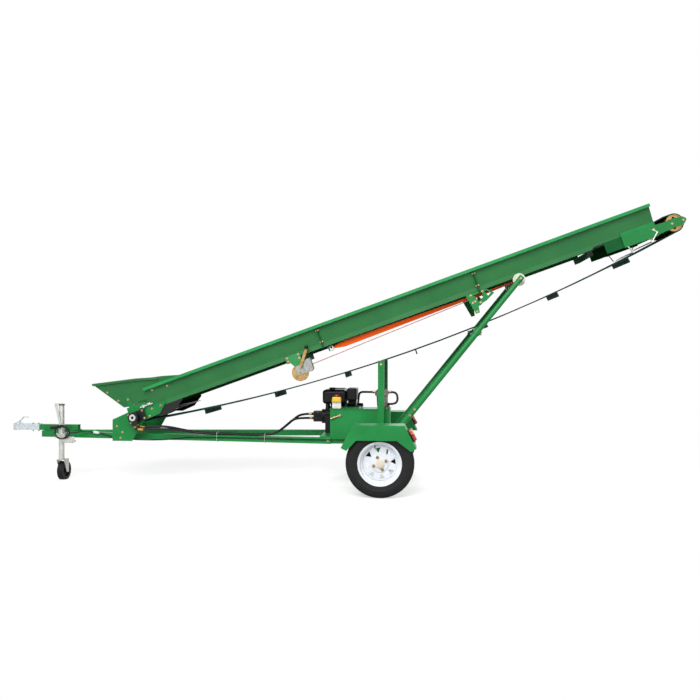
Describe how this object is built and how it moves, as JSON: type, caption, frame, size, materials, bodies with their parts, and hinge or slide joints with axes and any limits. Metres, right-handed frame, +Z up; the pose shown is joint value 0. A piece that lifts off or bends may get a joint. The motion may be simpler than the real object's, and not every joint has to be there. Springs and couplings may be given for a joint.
{
  "type": "towable firewood conveyor",
  "caption": "Trailer-mounted firewood belt conveyor with a tilting cleated-belt trough, feed hopper, hydraulic power pack, rolling lift strut, winch and jockey wheel.",
  "frame": {"origin": "on the ground, at the middle of the machine's length and width", "axes": "+Z up, +X along the machine toward the discharge head, -Y the side with the drive motor and winch"},
  "size_m": [5.7532, 1.49, 2.2927],
  "materials": {
    "black_paint": "satin",
    "black_plastic": "matte",
    "cast_black": "black",
    "green_paint": "gloss enamel",
    "grey_cast": "grey",
    "hose": "matte",
    "lamp": "gloss",
    "nylon": "matte",
    "rope": "braided",
    "rubber": "matte",
    "strap": "woven",
    "tyre": "matte",
    "white_paint": "gloss",
    "yellow_zinc": "yellow passivated",
    "zinc": "bright zinc"
  },
  "bodies": {
    "frame": {"air_cleaner": "black_plastic", "axle_beam": "green_paint", "chassis_cross_tubes": "green_paint", "chassis_rails": "green_paint", "coupling_latch": "zinc", "coupling_tube": "green_paint", "drawbar_rails": "green_paint", "engine_bed": "green_paint", "engine_block": "cast_black", "engine_fuel_tank": "black_plastic", "engine_muffler": "black_plastic", "engine_shroud": "black_plastic", "hydraulic_pump": "grey_cast", "hydraulic_tank": "green_paint", "jockey_clamp": "zinc", "jockey_crank": "black_plastic", "jockey_tube": "zinc", "motor_hoses": "hose", "mudguards": "green_paint", "pivot_beam": "green_paint", "pivot_lugs": "green_paint", "rest_posts": "green_paint", "return_filter": "grey_cast", "strut_lugs": "green_paint", "supply_hoses": "hose", "tail_lamps": "lamp", "tank_cap": "black_plastic", "tow_coupling": "zinc", "trailer_lead": "hose"},
    "wheel_near": {"tyre_near": "tyre", "rim_near": "white_paint"},
    "wheel_far": {"tyre_far": "tyre", "rim_far": "white_paint"},
    "jockey_leg": {"jockey_leg": "zinc"},
    "jockey_fork": {"jockey_fork": "zinc"},
    "jockey_wheel": {"jockey_wheel": "rubber"},
    "boom": {"trough_sides": "green_paint", "trough_bed": "green_paint", "trough_brackets": "green_paint", "belt_carrying_run": "rubber", "belt_return_run": "rubber", "tail_drum": "zinc", "head_drum": "yellow_zinc", "tail_plates": "green_paint", "tail_tray": "black_paint", "drive_motor": "black_paint", "belt_rods": "zinc", "head_arms": "green_paint", "hopper_front": "green_paint", "hopper_wings": "green_paint", "winch_bracket": "green_paint", "winch_drum": "yellow_zinc", "winch_crank": "zinc", "strut_stops": "green_paint", "winch_rope": "rope", "stay_strap": "strap"},
    "strut": {"strut_legs": "green_paint", "strut_rollers": "nylon"}
  },
  "joints": [
    {"name": "wheel_near_spin", "type": "hinge", "parent": "frame", "child": "wheel_near", "pos_m": [0.4734, -0.652, 0.265], "axis": [0, 1, 0], "continuous": true},
    {"name": "wheel_far_spin", "type": "hinge", "parent": "frame", "child": "wheel_far", "pos_m": [0.4734, 0.652, 0.265], "axis": [0, 1, 0], "continuous": true},
    {"name": "boom_lift", "type": "hinge", "parent": "frame", "child": "boom", "pos_m": [-1.6166, 0, 0.57], "axis": [0, -1, 0], "range_deg": [0, 5.1], "deforming": ["winch_rope", "stay_strap", "motor_hoses"]},
    {"name": "strut_swing", "type": "hinge", "parent": "frame", "child": "strut", "pos_m": [0.5714, 0, 0.452], "axis": [0, -1, 0], "range_deg": [0, 12.64]},
    {"name": "jockey_screw", "type": "slide", "parent": "frame", "child": "jockey_leg", "axis": [0, 0, -1], "range_m": [0, 0.18]},
    {"name": "jockey_swivel", "type": "hinge", "parent": "jockey_leg", "child": "jockey_fork", "pos_m": [-2.3416, -0.165, 0.18], "axis": [0, 0, 1], "continuous": true},
    {"name": "jockey_spin", "type": "hinge", "parent": "jockey_fork", "child": "jockey_wheel", "pos_m": [-2.3416, -0.12, 0.08], "axis": [1, 0, 0], "continuous": true}
  ],
  "couplings": [
    {"joint": "strut_swing", "follows": "boom_lift", "ratio": 2.4737}
  ]
}
